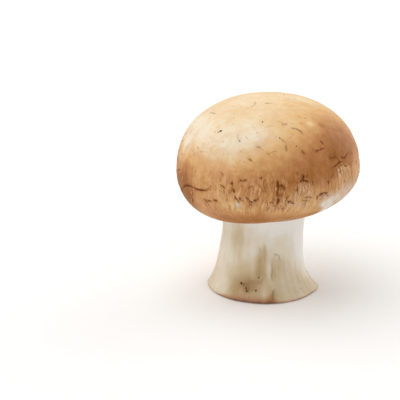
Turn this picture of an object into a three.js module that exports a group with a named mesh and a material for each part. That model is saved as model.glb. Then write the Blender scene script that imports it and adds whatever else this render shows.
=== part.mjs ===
// A cremini mushroom that stands on the flat cut of its stem: a brown cap, and a white stem with
// the young veil that still closes the cap from below. Millimetres, +Z up, and the origin is the
// middle of the cut.
import * as THREE from 'three';

const { smoothstep } = THREE.MathUtils;

// The cap, as if it had grown perfectly round
const CAP_RADIUS = 24; // of its widest circle
const WIDEST_HEIGHT = 32; // of that circle above the cut
const CROWN_RISE = 18.7; // from the widest circle up to the top
const CROWN_FULLNESS = 2.22; // superellipse exponent: 2 is an ellipse, more is fuller
const SKIRT_DROP = 11.8; // from the widest circle down to where the skirt's curve would close
const SKIRT_FULLNESS = 2;
const RIM_RADIUS = 15; // where the skirt ends and the rolled rim begins
const RIM_ROLL = 1; // radius of the roll
const ROOF_HEIGHT = 24.5; // flat underside inside the rim, closed off by the veil

// The stem, as if it had grown perfectly round
const NECK_RADIUS = 10.5;
const FOOT_FLARE = 3.5; // how far the foot stands out from the neck at the cut
const FOOT_FADE = 5.2; // height in which the flare falls to a third
const CUT_ROUNDING = 0.3; // soft edge round the cut
const VEIL_THICKNESS = 0.7; // at its outer edge
const VEIL_FADE = 1.8; // height in which the veil narrows to the neck
const JOIN_GAP = 0.3; // between the veil and the cap

// How growth bent the round shapes
const CAP_OFFSET_X = 2; // from the middle of the cut to the middle of the cap
const CAP_OFFSET_Y = 1;
const BEND_START = 4; // the stem leans between these heights
const BEND_END = 36;
const RIM_DROOP = 4; // the rim hangs this much lower at -X
const DROOP_SOFTNESS = 4; // width over which the droop begins
const DROOP_TOP = 34; // height where the droop has faded out
const VEIL_LEVEL = 22; // up to here the droop is whole
const STIFF_HEIGHT = 8; // below this the stem doesn't droop
const NECK_TOP = 20; // above this it droops with the cap
const CAP_OVAL = 0.015; // share by which the cap is longer along Y and shorter along X
const CAP_LOBES = 0.015; // share of a three-lobed waviness
const LOBE_ANGLE = 0.77; // radians, where the first lobe points
const LOBE_START = 12; // the stem takes on the cap's outline between these heights
const LOBE_END = 24;
const FOOT_SHIFT = 1.05; // the foot reaches out this much further at SHIFT_ANGLE
const SHIFT_ANGLE = -1.28; // radians
const FOOT_OVAL = 0.54; // this much to both sides of OVAL_ANGLE
const OVAL_ANGLE = -0.48;
const TOE = 1; // and this much in a blunt toe at TOE_ANGLE
const TOE_ANGLE = -0.2;
const TOE_WIDTH = 0.24; // angle to its side where the toe has fallen to a third
const OUTLINE_FADE = 1.9; // height in which the foot's own outline falls to a third

// Facets
const SIDES = 64;
const CROWN_STEPS = 20;
const SKIRT_STEPS = 9;
const ROLL_STEPS = 4;
const STEM_STEPS = 20;

// A quarter of a superellipse, from one angle to another; 0 is its widest circle
function superellipse(radius, rise, fullness, from, to, steps) {
  return Array.from({ length: steps + 1 }, (_, i) => {
    const angle = from + ((to - from) * i) / steps;
    const across = Math.max(Math.cos(angle), 0) ** (2 / fullness);
    const up = Math.abs(Math.sin(angle)) ** (2 / fullness);
    return new THREE.Vector2(radius * across, WIDEST_HEIGHT + rise * up);
  });
}

// The rim's roll: an arc that carries the skirt's last slope round to the inside of the cap
function rimRoll(skirt) {
  const [end, before] = skirt;
  const inward = new THREE.Vector2(end.y - before.y, before.x - end.x).normalize();
  const centre = end.clone().addScaledVector(inward, RIM_ROLL);
  const outward = inward.clone().negate().angle();
  const roll = new THREE.EllipseCurve(centre.x, centre.y, RIM_ROLL, RIM_ROLL, Math.PI, outward);
  return roll.getPoints(ROLL_STEPS);
}

function capSkirt() {
  const rimAngle = Math.acos((RIM_RADIUS / CAP_RADIUS) ** (SKIRT_FULLNESS / 2));
  return superellipse(CAP_RADIUS, -SKIRT_DROP, SKIRT_FULLNESS, rimAngle, 0, SKIRT_STEPS);
}

// From the axis under the roof, round the rim and over the crown back to the axis
function capProfile() {
  const skirt = capSkirt();
  const roll = rimRoll(skirt);
  const crown = superellipse(CAP_RADIUS, CROWN_RISE, CROWN_FULLNESS, 0, Math.PI / 2, CROWN_STEPS);
  return [
    new THREE.Vector2(0, ROOF_HEIGHT),
    new THREE.Vector2(roll[0].x, ROOF_HEIGHT),
    ...roll.slice(0, -1),
    ...skirt,
    ...crown.slice(1, -1),
    new THREE.Vector2(0, WIDEST_HEIGHT + CROWN_RISE),
  ];
}

// From the middle of the cut, up the outside of the stem and over the veil back to the axis
function stemProfile() {
  const veilRadius = rimRoll(capSkirt())[0].x - JOIN_GAP;
  const veilTop = ROOF_HEIGHT - JOIN_GAP;
  const veilUnder = veilTop - VEIL_THICKNESS;
  const side = Array.from({ length: STEM_STEPS + 1 }, (_, i) => {
    const height = CUT_ROUNDING + ((veilUnder - CUT_ROUNDING) * i) / STEM_STEPS;
    const foot = FOOT_FLARE * Math.exp(-height / FOOT_FADE);
    const veil = (veilRadius - NECK_RADIUS) * Math.exp((height - veilUnder) / VEIL_FADE);
    return new THREE.Vector2(NECK_RADIUS + foot + veil, height);
  });
  return [
    new THREE.Vector2(0, 0),
    new THREE.Vector2(side[0].x - CUT_ROUNDING, 0),
    ...side,
    new THREE.Vector2(veilRadius, veilTop),
    new THREE.Vector2(0, veilTop),
  ];
}

// The share by which the foot stands out further than its round shape
function footSpread(angle, height) {
  const shift = FOOT_SHIFT * Math.cos(angle - SHIFT_ANGLE);
  const oval = FOOT_OVAL * Math.cos(2 * (angle - OVAL_ANGLE));
  const toe = TOE * Math.exp(-(((angle - TOE_ANGLE) / TOE_WIDTH) ** 2));
  return ((shift + oval + toe) / (NECK_RADIUS + FOOT_FLARE)) * Math.exp(-height / OUTLINE_FADE);
}

// Where a point of the round mushroom ended up
function grow(point) {
  const { x, y, z } = point;
  const angle = Math.atan2(y, x);
  const outline = 1 - CAP_OVAL * Math.cos(2 * angle) + CAP_LOBES * Math.cos(3 * (angle - LOBE_ANGLE));
  const spread = 1 + (outline - 1) * smoothstep(z, LOBE_START, LOBE_END) + footSpread(angle, z);
  const left = (Math.hypot(x, DROOP_SOFTNESS) - x) / (2 * CAP_RADIUS);
  const hanging = smoothstep(z, STIFF_HEIGHT, NECK_TOP) * (1 - smoothstep(z, VEIL_LEVEL, DROOP_TOP));
  const bend = smoothstep(z, BEND_START, BEND_END);
  point.set(
    x * spread + CAP_OFFSET_X * bend,
    y * spread + CAP_OFFSET_Y * bend,
    z - RIM_DROOP * left * hanging,
  );
}

// Turns a profile round the Z axis and bends the result as growth did
function grownSolid(profile) {
  const geometry = new THREE.LatheGeometry(profile, SIDES);
  geometry.rotateX(Math.PI / 2);
  const place = geometry.attributes.position;
  const point = new THREE.Vector3();
  for (let i = 0; i < place.count; i += 1) {
    grow(point.fromBufferAttribute(place, i));
    place.setXYZ(i, point.x, point.y, point.z);
  }
  geometry.computeVertexNormals();
  return geometry;
}

function piece(name, profile, colour, roughness) {
  const material = new THREE.MeshStandardMaterial({ color: colour, roughness, metalness: 0 });
  const mesh = new THREE.Mesh(grownSolid(profile), material);
  mesh.name = name;
  return mesh;
}

const mushroom = new THREE.Group();
mushroom.add(piece('cap', capProfile(), 0xc8986a, 0.5));
mushroom.add(piece('stem_with_veil', stemProfile(), 0xe4dccd, 0.7));

export default mushroom;
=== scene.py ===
"""The looks of a cremini mushroom that stands on the flat cut of its stem.

Lengths are in millimetres until a mesh or a node needs metres. A place on the mushroom is an
azimuth, in degrees with 0 at +X and -90 at the front, with a drop, which is how far down the
cap's skin it lies from the crown, or with a height up the stem.
"""
import math

import bmesh
import bpy
import numpy as np
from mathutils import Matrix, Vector


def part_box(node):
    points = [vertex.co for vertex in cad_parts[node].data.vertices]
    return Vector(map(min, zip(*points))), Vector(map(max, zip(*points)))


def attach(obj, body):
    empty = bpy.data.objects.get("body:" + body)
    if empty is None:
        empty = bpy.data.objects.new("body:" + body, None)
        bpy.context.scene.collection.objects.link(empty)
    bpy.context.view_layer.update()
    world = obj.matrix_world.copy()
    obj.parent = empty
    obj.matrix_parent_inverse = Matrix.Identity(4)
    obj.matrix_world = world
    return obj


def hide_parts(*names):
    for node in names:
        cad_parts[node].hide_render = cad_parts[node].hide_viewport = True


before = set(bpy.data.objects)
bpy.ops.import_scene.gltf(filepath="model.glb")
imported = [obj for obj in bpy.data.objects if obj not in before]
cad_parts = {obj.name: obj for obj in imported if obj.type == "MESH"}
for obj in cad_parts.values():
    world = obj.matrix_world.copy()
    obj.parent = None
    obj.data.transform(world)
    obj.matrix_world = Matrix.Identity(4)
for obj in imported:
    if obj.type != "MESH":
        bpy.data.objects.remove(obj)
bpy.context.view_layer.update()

MM = 0.001
PER_MM = 1 / MM
cap_low, cap_high = (np.array(corner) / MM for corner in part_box("cap"))
veil_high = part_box("stem_with_veil")[1][2] / MM

# How growth bent the round shapes
CAP_OFFSET = (2.0, 1.0)  # from the middle of the cut to the middle of the cap
BEND = (4, 36)  # the stem leans between these heights
RIM_DROOP = 4  # the rim hangs this much lower at -X
DROOP_SOFTNESS = 4  # width over which the droop begins
STIFFNESS = (8, 20)  # the droop begins between these heights
DROOP_FADE = (22, 34)  # and ends between these
CAP_OVAL = 0.015  # share by which the cap is longer along Y and shorter along X
CAP_LOBES = 0.015  # share of its three-lobed waviness
LOBE_ANGLE = 0.77  # radians, where the first lobe points
LOBE_FADE = (12, 24)  # the stem takes on the cap's outline between these heights
FOOT_SHIFT = 1.05  # the foot reaches out this much further at SHIFT_ANGLE
SHIFT_ANGLE = -1.28  # radians
FOOT_OVAL = 0.54  # this much to both sides of OVAL_ANGLE
OVAL_ANGLE = -0.48
TOE = 1  # and this much in a blunt toe at TOE_ANGLE
TOE_ANGLE = -0.2
TOE_WIDTH = 0.24  # angle to its side where the toe has fallen to a third
OUTLINE_FADE = 1.9  # height in which the foot's own outline falls to a third

# The cap, as if it had grown perfectly round
CAP_TOP = cap_high[2]
CAP_RADIUS = (1 + CAP_OVAL) * (cap_high[0] - cap_low[0]) / 2
WIDEST_HEIGHT = 0.631 * CAP_TOP
CROWN_RISE = CAP_TOP - WIDEST_HEIGHT
CROWN_FULLNESS = 2.22  # superellipse exponent: 2 is an ellipse, more is fuller
SKIRT_DROP = 0.492 * CAP_RADIUS
SKIRT_FULLNESS = 2
RIM_RADIUS = 0.625 * CAP_RADIUS  # where the skirt ends and the rolled rim begins
RIM_ROLL = 1  # radius of the roll
ROOF_GAP = 0.35  # from the highest point of the veil to the roof inside the cap
ROOF_HEIGHT = veil_high + ROOF_GAP
CROWN_POINTS = 400  # along the profile
SKIRT_POINTS = 200
ROLL_POINTS = 40
ROOF_POINTS = 100
CAP_CUTS = 127  # along each edge of the cube that the cap's mesh is blown up from
ROOF_WEIGHT = 0.1  # how densely the hidden roof is meshed, where the skin is 1

# The stem, as if it had grown perfectly round
NECK_RADIUS = 0.4375 * CAP_RADIUS
FOOT_FLARE = 0.146 * CAP_RADIUS
FOOT_RADIUS = NECK_RADIUS + FOOT_FLARE
FOOT_FADE = 5.2  # height in which the flare falls to a third
CUT_ROUNDING = 0.3  # soft edge round the cut
VEIL_OVERLAP = 0.3  # how far the veil's edge has grown into the rim
VEIL_THICKNESS = 0.7  # at its outer edge
VEIL_FADE = 1.8  # height in which its reach past the neck falls to a third
STEM_COLUMNS = 400
STEM_ROWS = 140
CUT_RINGS = 40


# ---------------------------------------------------------------- small tools

def linear(colour, alpha=1.0):
    """An sRGB hex colour as linear red, green, blue and alpha."""
    shares = [int(colour[i:i + 2], 16) / 255 for i in (1, 3, 5)]
    return (*(s / 12.92 if s <= 0.04045 else ((s + 0.055) / 1.055) ** 2.4 for s in shares), alpha)


def ease(value, start, end):
    """Rises smoothly from 0 at start to 1 at end."""
    share = np.clip((value - start) / (end - start), 0, 1)
    return share * share * (3 - 2 * share)


def turn_between(azimuth, middle):
    """Degrees from a middle round to an azimuth, by the shorter way."""
    return (azimuth - middle + 180) % 360 - 180


def socket(sockets, key):
    """The enabled socket of that name, or at that place among the enabled ones."""
    usable = [s for s in sockets if s.enabled]
    return usable[key] if isinstance(key, int) else next(s for s in usable if s.name == key)


def add(tree, kind, inputs=(), operation=None, stops=(), **settings):
    """Adds a node; a kind without Node in it is a ShaderNode. inputs, in order or by name, are
    values, hex colours, sockets, or nodes whose first output is meant. stops are the places and
    colours along a colour ramp."""
    node = tree.nodes.new(kind if "Node" in kind else "ShaderNode" + kind)
    if operation:
        settings["operation"] = operation
    for name, value in settings.items():
        setattr(node, name, value)
    for key, source in inputs.items() if isinstance(inputs, dict) else enumerate(inputs):
        target = socket(node.inputs, key)
        if isinstance(source, bpy.types.Node):
            source = socket(source.outputs, 0)
        if isinstance(source, bpy.types.NodeSocket):
            tree.links.new(source, target)
        else:
            is_hex = target.type == "RGBA" and isinstance(source, str)
            target.default_value = linear(source) if is_hex else source
    if stops:
        band = node.color_ramp.elements
        band[0].position = stops[0][0]
        band[1].position = stops[-1][0]
        for place, _ in stops[1:-1]:
            band.new(place)
        for spot, (_, colour) in zip(band, stops):
            spot.color = linear(colour)
    return node


def new_tree(name, inputs):
    """A Geometry Nodes tree, and its inputs: Geometry, these named ones, and Material."""
    tree = bpy.data.node_groups.new(name, "GeometryNodeTree")
    tree.interface.new_socket("Geometry", in_out="OUTPUT", socket_type="NodeSocketGeometry")
    for label, kind in {"Geometry": "Geometry", **inputs, "Material": "Material"}.items():
        tree.interface.new_socket(label, in_out="INPUT", socket_type="NodeSocket" + kind)
    return tree, tree.nodes.new("NodeGroupInput").outputs


def end_tree(tree, shape, material):
    """Ends a tree with real geometry in one material."""
    shape = add(tree, "GeometryNodeRealizeInstances", [shape])
    shape = add(tree, "GeometryNodeSetMaterial", {0: shape, "Material": material})
    add(tree, "NodeGroupOutput", [shape])
    return tree


def run_tree(piece, tree, values):
    """Runs a tree on a piece with these inputs, and keeps what comes out as its plain mesh."""
    modifier = piece.modifiers.new(tree.name, "NODES")
    modifier.node_group = tree
    for item in tree.interface.items_tree:
        if item.in_out == "INPUT" and item.name in values:
            modifier[item.identifier] = values[item.name]
    result = piece.evaluated_get(bpy.context.evaluated_depsgraph_get())
    mesh = bpy.data.meshes.new_from_object(result)
    piece.modifiers.remove(modifier)
    piece.data = mesh
    mesh.name = piece.name
    return piece


def new_piece(name, points, edges=(), faces=(), **attributes):
    """An object from points in millimetres, with a value or a vector for each point."""
    mesh = bpy.data.meshes.new(name)
    mesh.from_pydata(np.asarray(points) * MM, edges, faces)
    for label, values in attributes.items():
        values = np.asarray(values, np.float32)
        kind = "FLOAT_VECTOR" if values.ndim == 2 else "FLOAT"
        layer = mesh.attributes.new(label, kind, "POINT")
        layer.data.foreach_set("vector" if values.ndim == 2 else "value", values.ravel())
    mesh.shade_smooth()
    piece = bpy.data.objects.new(name, mesh)
    bpy.context.scene.collection.objects.link(piece)
    return piece


def points_and_faces(shape):
    """The points and faces of a bmesh shape, which is then freed."""
    shape.verts.index_update()
    points = np.array([corner.co for corner in shape.verts])
    faces = [[corner.index for corner in face.verts] for face in shape.faces]
    shape.free()
    return points, faces


# ---------------------------------------------------------------- the grown shape

def grow(points):
    """Where points of the round mushroom ended up."""
    x, y, z = points.T
    angle = np.arctan2(y, x)
    outline = 1 - CAP_OVAL * np.cos(2 * angle) + CAP_LOBES * np.cos(3 * (angle - LOBE_ANGLE))
    foot = FOOT_SHIFT * np.cos(angle - SHIFT_ANGLE) + FOOT_OVAL * np.cos(2 * (angle - OVAL_ANGLE))
    foot = foot + TOE * np.exp(-((angle - TOE_ANGLE) / TOE_WIDTH) ** 2)
    foot = foot / FOOT_RADIUS * np.exp(-z / OUTLINE_FADE)
    spread = 1 + (outline - 1) * ease(z, *LOBE_FADE) + foot
    left = (np.hypot(x, DROOP_SOFTNESS) - x) / (2 * CAP_RADIUS)
    hanging = ease(z, *STIFFNESS) * (1 - ease(z, *DROOP_FADE))
    bend = ease(z, *BEND)
    return np.stack([
        x * spread + CAP_OFFSET[0] * bend,
        y * spread + CAP_OFFSET[1] * bend,
        z - RIM_DROOP * left * hanging,
    ], axis=1)


def turned(radius, height, azimuth):
    """Points of the round mushroom, azimuth in radians."""
    return np.stack([radius * np.cos(azimuth), radius * np.sin(azimuth), height], axis=-1)


def superellipse(rise, fullness, angle):
    """Radius and height on a quarter of a superellipse; angle 0 is the cap's widest circle."""
    across = np.clip(np.cos(angle), 0, 1) ** (2 / fullness)
    up = np.abs(np.sin(angle)) ** (2 / fullness)
    return np.stack([CAP_RADIUS * across, WIDEST_HEIGHT + rise * up], axis=1)


def cap_profile():
    """Radius, height and drop down the cap: crown, skirt, rolled rim and the roof inside."""
    crown = superellipse(CROWN_RISE, CROWN_FULLNESS, np.linspace(math.pi / 2, 0, CROWN_POINTS))
    rim_angle = math.acos((RIM_RADIUS / CAP_RADIUS) ** (SKIRT_FULLNESS / 2))
    skirt = superellipse(-SKIRT_DROP, SKIRT_FULLNESS, np.linspace(0, rim_angle, SKIRT_POINTS))
    slope = skirt[-1] - skirt[-2]
    inward = np.array([slope[1], -slope[0]]) / math.hypot(*slope)
    centre = skirt[-1] + RIM_ROLL * inward
    turn = np.linspace(math.atan2(-inward[1], -inward[0]), -math.pi, ROLL_POINTS)
    roll = centre + RIM_ROLL * np.stack([np.cos(turn), np.sin(turn)], axis=1)
    inside = np.linspace(roll[-1, 0], 0, ROOF_POINTS)
    roof = np.stack([inside, np.full(ROOF_POINTS, ROOF_HEIGHT)], axis=1)
    line = np.concatenate([crown, skirt[1:], roll[1:], roof])
    drop = np.concatenate([[0], np.cumsum(np.hypot(*np.diff(line, axis=0).T))])
    return line[:, 0], line[:, 1], drop


cap_radii, cap_heights, cap_drops = cap_profile()
LIP_DROP = cap_drops[-ROOF_POINTS - 1]  # where the rolled rim meets the veil
LIP_RADIUS = cap_radii[-ROOF_POINTS - 1]


def cap_radius(drop):
    """The round cap's radius."""
    return np.interp(drop, cap_drops, cap_radii)


def round_cap(azimuth, drop):
    """The place on the round cap's skin, azimuth in radians."""
    return turned(cap_radius(drop), np.interp(drop, cap_drops, cap_heights), azimuth)


def on_cap(azimuth, drop):
    """The grown place on the cap's skin, azimuth in degrees."""
    return grow(np.atleast_2d(round_cap(np.radians(azimuth), drop)))


def stem_radius(height):
    """The round stem's radius: neck, flared foot, and the veil that spreads to the rim."""
    veil_radius = LIP_RADIUS + VEIL_OVERLAP
    veil_under = ROOF_HEIGHT - VEIL_OVERLAP - VEIL_THICKNESS
    foot = FOOT_FLARE * np.exp(-height / FOOT_FADE)
    veil = (veil_radius - NECK_RADIUS) * np.exp((height - veil_under) / VEIL_FADE)
    return NECK_RADIUS + foot + veil


def on_stem(azimuth, height):
    """The grown place on the side of the stem, azimuth in degrees."""
    return grow(np.atleast_2d(turned(stem_radius(height), height, np.radians(azimuth))))


# ---------------------------------------------------------------- splits in the skin

# Splits seen from the front: azimuth, drop, length, lean (degrees, right end up), bow (middle
# up) and half-width
CAP_SPLITS = (
    (-136.8, 19.2, 1.4, 55, 0, 0.12), (-134, 6, 1.7, -50, 0.2, 0.07),
    (-126, 7.5, 1.5, 80, 0.1, 0.07), (-101, 4.9, 1, 25, 0.2, 0.12),
    (-94, 4.8, 0.8, -50, 0.2, 0.06), (-169, 15.7, 3.4, 25, 0.3, 0.07),
    (-117, 19.9, 1.9, -60, -0.1, 0.05), (-70, 17.5, 3.1, -54, 0.45, 0.12),
    (-83, 20.1, 1.8, -50, 0.2, 0.07), (-81.5, 22, 1.7, -88, 0.1, 0.09),
    (-70, 23.4, 1.3, -60, 0.2, 0.15), (-52.6, 21.7, 1.2, -55, 0, 0.14),
    (-59.9, 23.7, 0.9, 20, 0.1, 0.2), (-56.6, 23.6, 2.8, 2, 0.1, 0.15),
    (-8, 28.6, 1.1, 60, 0.1, 0.13), (-101, 22, 1, -15, 0.1, 0.05),
    (-105, 25.3, 1.2, -35, 0.2, 0.12), (-144, 31.1, 0.8, 70, 0, 0.1),
    (-122, 29.6, 1.2, -45, 0.1, 0.1), (-109, 30.3, 1, -30, -0.1, 0.17),
    (-107, 30.4, 1.1, 12, -0.1, 0.19), (-121, 32.8, 1.7, -25, 0.1, 0.15),
    (-97, 29.5, 0.7, 70, 0.2, 0.2), (-114.8, 31.6, 0.7, 80, 0.1, 0.22),
    (-113.2, 33.2, 1, -65, 0.1, 0.28), (-111.6, 34.9, 2.5, -45, 0.1, 0.19),
    (-110.3, 35.5, 1.2, -60, 0, 0.26), (-109.9, 34.8, 1.2, 48, 0, 0.13),
    (-108.9, 35.1, 1.7, -12, 0, 0.09), (-104.9, 34.9, 1.4, -40, 0.1, 0.21),
    (-102.5, 35.5, 1.3, -35, -0.1, 0.25), (-100.3, 35.2, 0.9, 15, 0.2, 0.19),
    (-102, 36.4, 1.1, 75, 0.2, 0.12), (-98.5, 34.7, 0.7, 60, 0.1, 0.15),
    (-103, 32.1, 1.5, 10, 0.3, 0.1), (-95, 32.7, 1, 20, 0.2, 0.09),
    (-134.6, 36.9, 1.3, -30, 0, 0.23), (-131.3, 36.9, 1.4, 20, 0.1, 0.21),
    (-126.2, 36.1, 1.2, 10, -0.2, 0.23), (-147.3, 36.2, 1.5, 88, 0.1, 0.09),
    (-150, 38, 1.2, 80, 0, 0.15), (-131, 34.5, 1.4, 12, 0.2, 0.07),
    (-87, 30.9, 1.9, 84, 0.1, 0.24), (-85.5, 31.4, 1, 0, 0.3, 0.22),
    (-84.3, 31.9, 0.9, -75, 0.1, 0.16), (-87.4, 33.1, 2.4, 92, 0.2, 0.15),
    (-86.8, 35.1, 1.8, 84, 0.1, 0.26), (-85.6, 36.9, 1.2, 82, 0.1, 0.13),
    (-90.5, 31.3, 3, 86, 0.2, 0.07), (-94.6, 31.3, 3.4, 92, 0.1, 0.09),
    (-82.6, 34.6, 2.2, 70, 0.1, 0.14), (-80.4, 35.5, 1.5, 25, 0.3, 0.22),
    (-78.6, 36.1, 1.1, -20, 0.2, 0.15), (-90.5, 35.9, 1.2, -25, 0.2, 0.13),
    (-88.5, 36.6, 0.8, 20, 0.2, 0.11), (-72, 29.7, 1.9, 92, 0, 0.36),
    (-73, 30.4, 1.1, 25, 0.1, 0.3), (-72, 30.4, 0.9, 0, 0, 0.36),
    (-70.8, 30.5, 1.1, -20, 0.1, 0.28), (-69.8, 29.4, 0.9, 55, 0.1, 0.14),
    (-75.4, 28.3, 0.8, 70, 0.1, 0.1), (-76, 32.5, 1.3, 75, 0.1, 0.17),
    (-77, 30.9, 1.1, 85, 0.1, 0.1), (-66.8, 31.3, 1.3, 95, 0.1, 0.12),
    (-69.5, 34.9, 2.6, -6, 0.25, 0.12), (-71.2, 35.6, 1.7, -2, 0.15, 0.12),
    (-60.3, 34.5, 1.5, 14, 0.2, 0.3), (-57.6, 34.7, 1.4, -40, 0.25, 0.26),
    (-62.8, 35.2, 1.3, 70, 0.2, 0.17), (-60, 35.3, 1.4, 85, 0.1, 0.13),
    (-55.8, 35.2, 0.8, -60, 0.1, 0.13), (-45, 29.9, 0.7, 0, -0.2, 0.1),
    (-41.6, 30.2, 0.7, 30, 0.1, 0.1), (-55, 31.8, 1.1, 75, 0.1, 0.2),
    (-52.6, 30.6, 0.9, 60, 0.1, 0.12),
)

# Cracks that turn as they run: half-width, then the azimuth and drop of the places they run
# through. The first is the long one at the left, the others are a network at the right.
CRACKS = (
    (0.21, (-164, 37.6), (-161, 36.5), (-157.4, 35.7), (-153.2, 35.2), (-149, 34.9), (-146.2, 34.9),
     (-143.2, 35.0), (-140.2, 35.0), (-136.5, 34.8), (-132.8, 34.5), (-131.6, 34.1), (-129.4, 33.3)),
    (0.17, (-40.6, 26.8), (-37.2, 27.5), (-33.5, 27.1), (-28.4, 26.6)),
    (0.06, (-29.0, 26.7), (-26.2, 28.0), (-26.8, 29.3), (-31.0, 29.9)),
    (0.18, (-51.0, 28.6), (-47.2, 28.3), (-44.2, 27.9), (-40.0, 28.0)),
    (0.18, (-41.6, 28.8), (-36.8, 29.5), (-33.4, 29.5)),
    (0.07, (-45.0, 24.7), (-46.0, 25.8), (-45.0, 26.5), (-43.8, 27.3), (-44.4, 27.9)),
    (0.12, (-51.4, 26.2), (-48.2, 26.2), (-44.4, 26.3)),
)
CRACK_STEPS = 48  # points along a crack
SPLIT_STEP = 0.25  # between points along a split
FEWEST_STEPS = 5
WANDER = 0.06  # how far a split strays at each step
TIP_WIDTH = 0.25  # share of a split's width that is left at its tips

# Splits round the rest of the cap
WILD_SPLITS = 130
WILD_AZIMUTHS = (-25, 195)
WILD_DROPS = (22, 39)
WILD_LEANS = {0: 0.35, 40: 0.15, -40: 0.15, 90: 0.35}  # and how often each occurs
LEAN_SPREAD = 15
WILD_LENGTHS = (0.7, 1.6)
FRAYED_LENGTH = 1.2  # where the skin frays they grow longer by this
FRAYED_DROPS = (28, 34)
WILD_BOW = 0.25
WILD_GIRTHS = (0.06, 0.24)

# Creases and scrapes on the stem: azimuth, height, length, lean, bow and half-width
STEM_SPLITS = (
    (-74.2, 12, 0.9, -60, 0.1, 0.2), (-70.5, 11.2, 2.6, -55, 0.35, 0.17),
    (-75.9, 7.2, 3.8, 88, 0.15, 0.17), (-76.6, 9.6, 1.4, 80, 0.1, 0.1),
    (-95.4, 13.6, 2.2, -72, 0.1, 0.1), (-86.6, 12.6, 5, 88, 0.1, 0.1),
    (-90, 5.2, 1.8, 88, 0, 0.12), (-77, 2, 2.6, 82, 0.2, 0.26),
    (-100, 5.4, 2.4, 3, 0.1, 0.08), (-94.2, 5.2, 1.2, 85, 0.1, 0.08),
)
WILD_CREASES = 16

rng = np.random.default_rng(12)


def mostly_high(low, high, high_pull, low_pull):
    """A random number between two, drawn towards each of them by its pull."""
    return low + (high - low) * rng.beta(high_pull, low_pull)


# Places where the skin is torn off the flesh: azimuth and drop of the upper edge's middle, width,
# length, and how far the upper edge's middle stands above its ends
FRONT_TEARS = (
    (-71.2, 30.9, 4.3, 4.6, 0.1), (-76.6, 33.1, 1.3, 2.6, 0.3), (-39.5, 28.8, 6.2, 5.4, 0.8),
    (-62.4, 35.3, 1, 2, 0.2), (-58.9, 34.7, 0.8, 1.8, 0.1), (-110.8, 36, 1.7, 1.5, 0.3),
    (-76.8, 35.9, 1.3, 1.3, 0.2), (-81.2, 34.3, 0.8, 1.7, 0.5), (-84.3, 35.2, 0.6, 1.5, 0.3),
    (-90.5, 35.4, 0.6, 1.2, 0.3), (-83.4, 34.3, 0.8, 2.2, 0.3), (-101, 35.9, 1.6, 1.6, 0.2),
    (-107.6, 30.7, 1.6, 0.9, 0.2), (-120.5, 33.1, 1.3, 0.8, 0.2), (-95.5, 36.3, 1, 1.4, 0.2),
    (-116, 36.5, 0.9, 1.5, 0.2), (-122, 37.3, 0.8, 1.2, 0.2), (-131, 37.3, 1.4, 1, 0.2),
    (-90, 36.7, 1, 1.2, 0.2), (-86, 32.3, 0.8, 1.2, 0.2), (-67.5, 32.7, 0.7, 2.4, 0.2),
)
WILD_TEARS = tuple((rng.uniform(-22, 195), mostly_high(27, 36, 2, 1.5), rng.uniform(0.8, 5),
                    rng.uniform(1, 4.5), rng.uniform(0.1, 0.8)) for _ in range(26))
TEAR_FRAY = 4  # the lower end is this much more ragged than the other edges


def split_line(azimuth, place, length, lean, bow, radius, down):
    """Azimuths and drops or heights along one split; down is 1 where places count downwards."""
    steps = max(FEWEST_STEPS, round(length / SPLIT_STEP))
    along = np.linspace(-1, 1, steps + 1)
    wander = WANDER * np.cumsum(rng.normal(size=steps + 1))
    across = along * length / 2
    rise = bow * (1 - along ** 2) + wander
    cos, sin = math.cos(math.radians(lean)), math.sin(math.radians(lean))
    sideways = across * cos - rise * sin
    upward = across * sin + rise * cos
    return azimuth + np.degrees(sideways / radius), place - down * upward


def split_lines(rows, radius_at, where, down):
    """The grown points of each split, and its half-width."""
    return [(where(*split_line(azimuth, place, length, lean, bow, radius_at(place), down)), girth)
            for azimuth, place, length, lean, bow, girth in rows]


def edge_mesh(name, lines):
    """Lines as an edge mesh that tapers to both ends of each."""
    points, edges, girths = [], [], []
    for line, girth in lines:
        start = len(points)
        taper = 1 - np.abs(np.linspace(-1, 1, len(line))) ** 3
        points.extend(line)
        girths.extend(girth * MM * (TIP_WIDTH + (1 - TIP_WIDTH) * taper))
        edges.extend((start + i, start + i + 1) for i in range(len(line) - 1))
    return new_piece(name, points, edges=edges, girth=girths)


def cap_split_lines():
    """Every split on the cap, the ones at the front listed and the rest drawn at random."""
    rows = list(CAP_SPLITS)
    for _ in range(WILD_SPLITS):
        azimuth = rng.uniform(*WILD_AZIMUTHS)
        place = mostly_high(*WILD_DROPS, 3, 1.6)
        lean = rng.normal(rng.choice(list(WILD_LEANS), p=list(WILD_LEANS.values())), LEAN_SPREAD)
        shortest, longest = WILD_LENGTHS
        length = rng.uniform(shortest, longest + FRAYED_LENGTH * float(ease(place, *FRAYED_DROPS)))
        rows.append((azimuth, place, length, lean, rng.uniform(-WILD_BOW, WILD_BOW),
                     rng.uniform(*WILD_GIRTHS)))
    # Every other tear there has a split along its upper edge
    for azimuth, top, width, _, _ in WILD_TEARS[::2]:
        reach = width * rng.uniform(0.3, 0.7)
        rows.append((azimuth + rng.normal(0, 2), top - 0.1, reach, rng.normal(0, 14), 0.12 * reach,
                     rng.uniform(0.08, 0.22)))
    lines = split_lines(rows, cap_radius, on_cap, 1)
    for girth, *places in CRACKS:
        azimuth, place = np.array(places).T
        share = np.linspace(0, len(places) - 1, CRACK_STEPS)
        turns = range(len(places))
        lines.append((on_cap(np.interp(share, turns, azimuth), np.interp(share, turns, place)), girth))
    return edge_mesh("cap_splits", lines)


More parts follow.
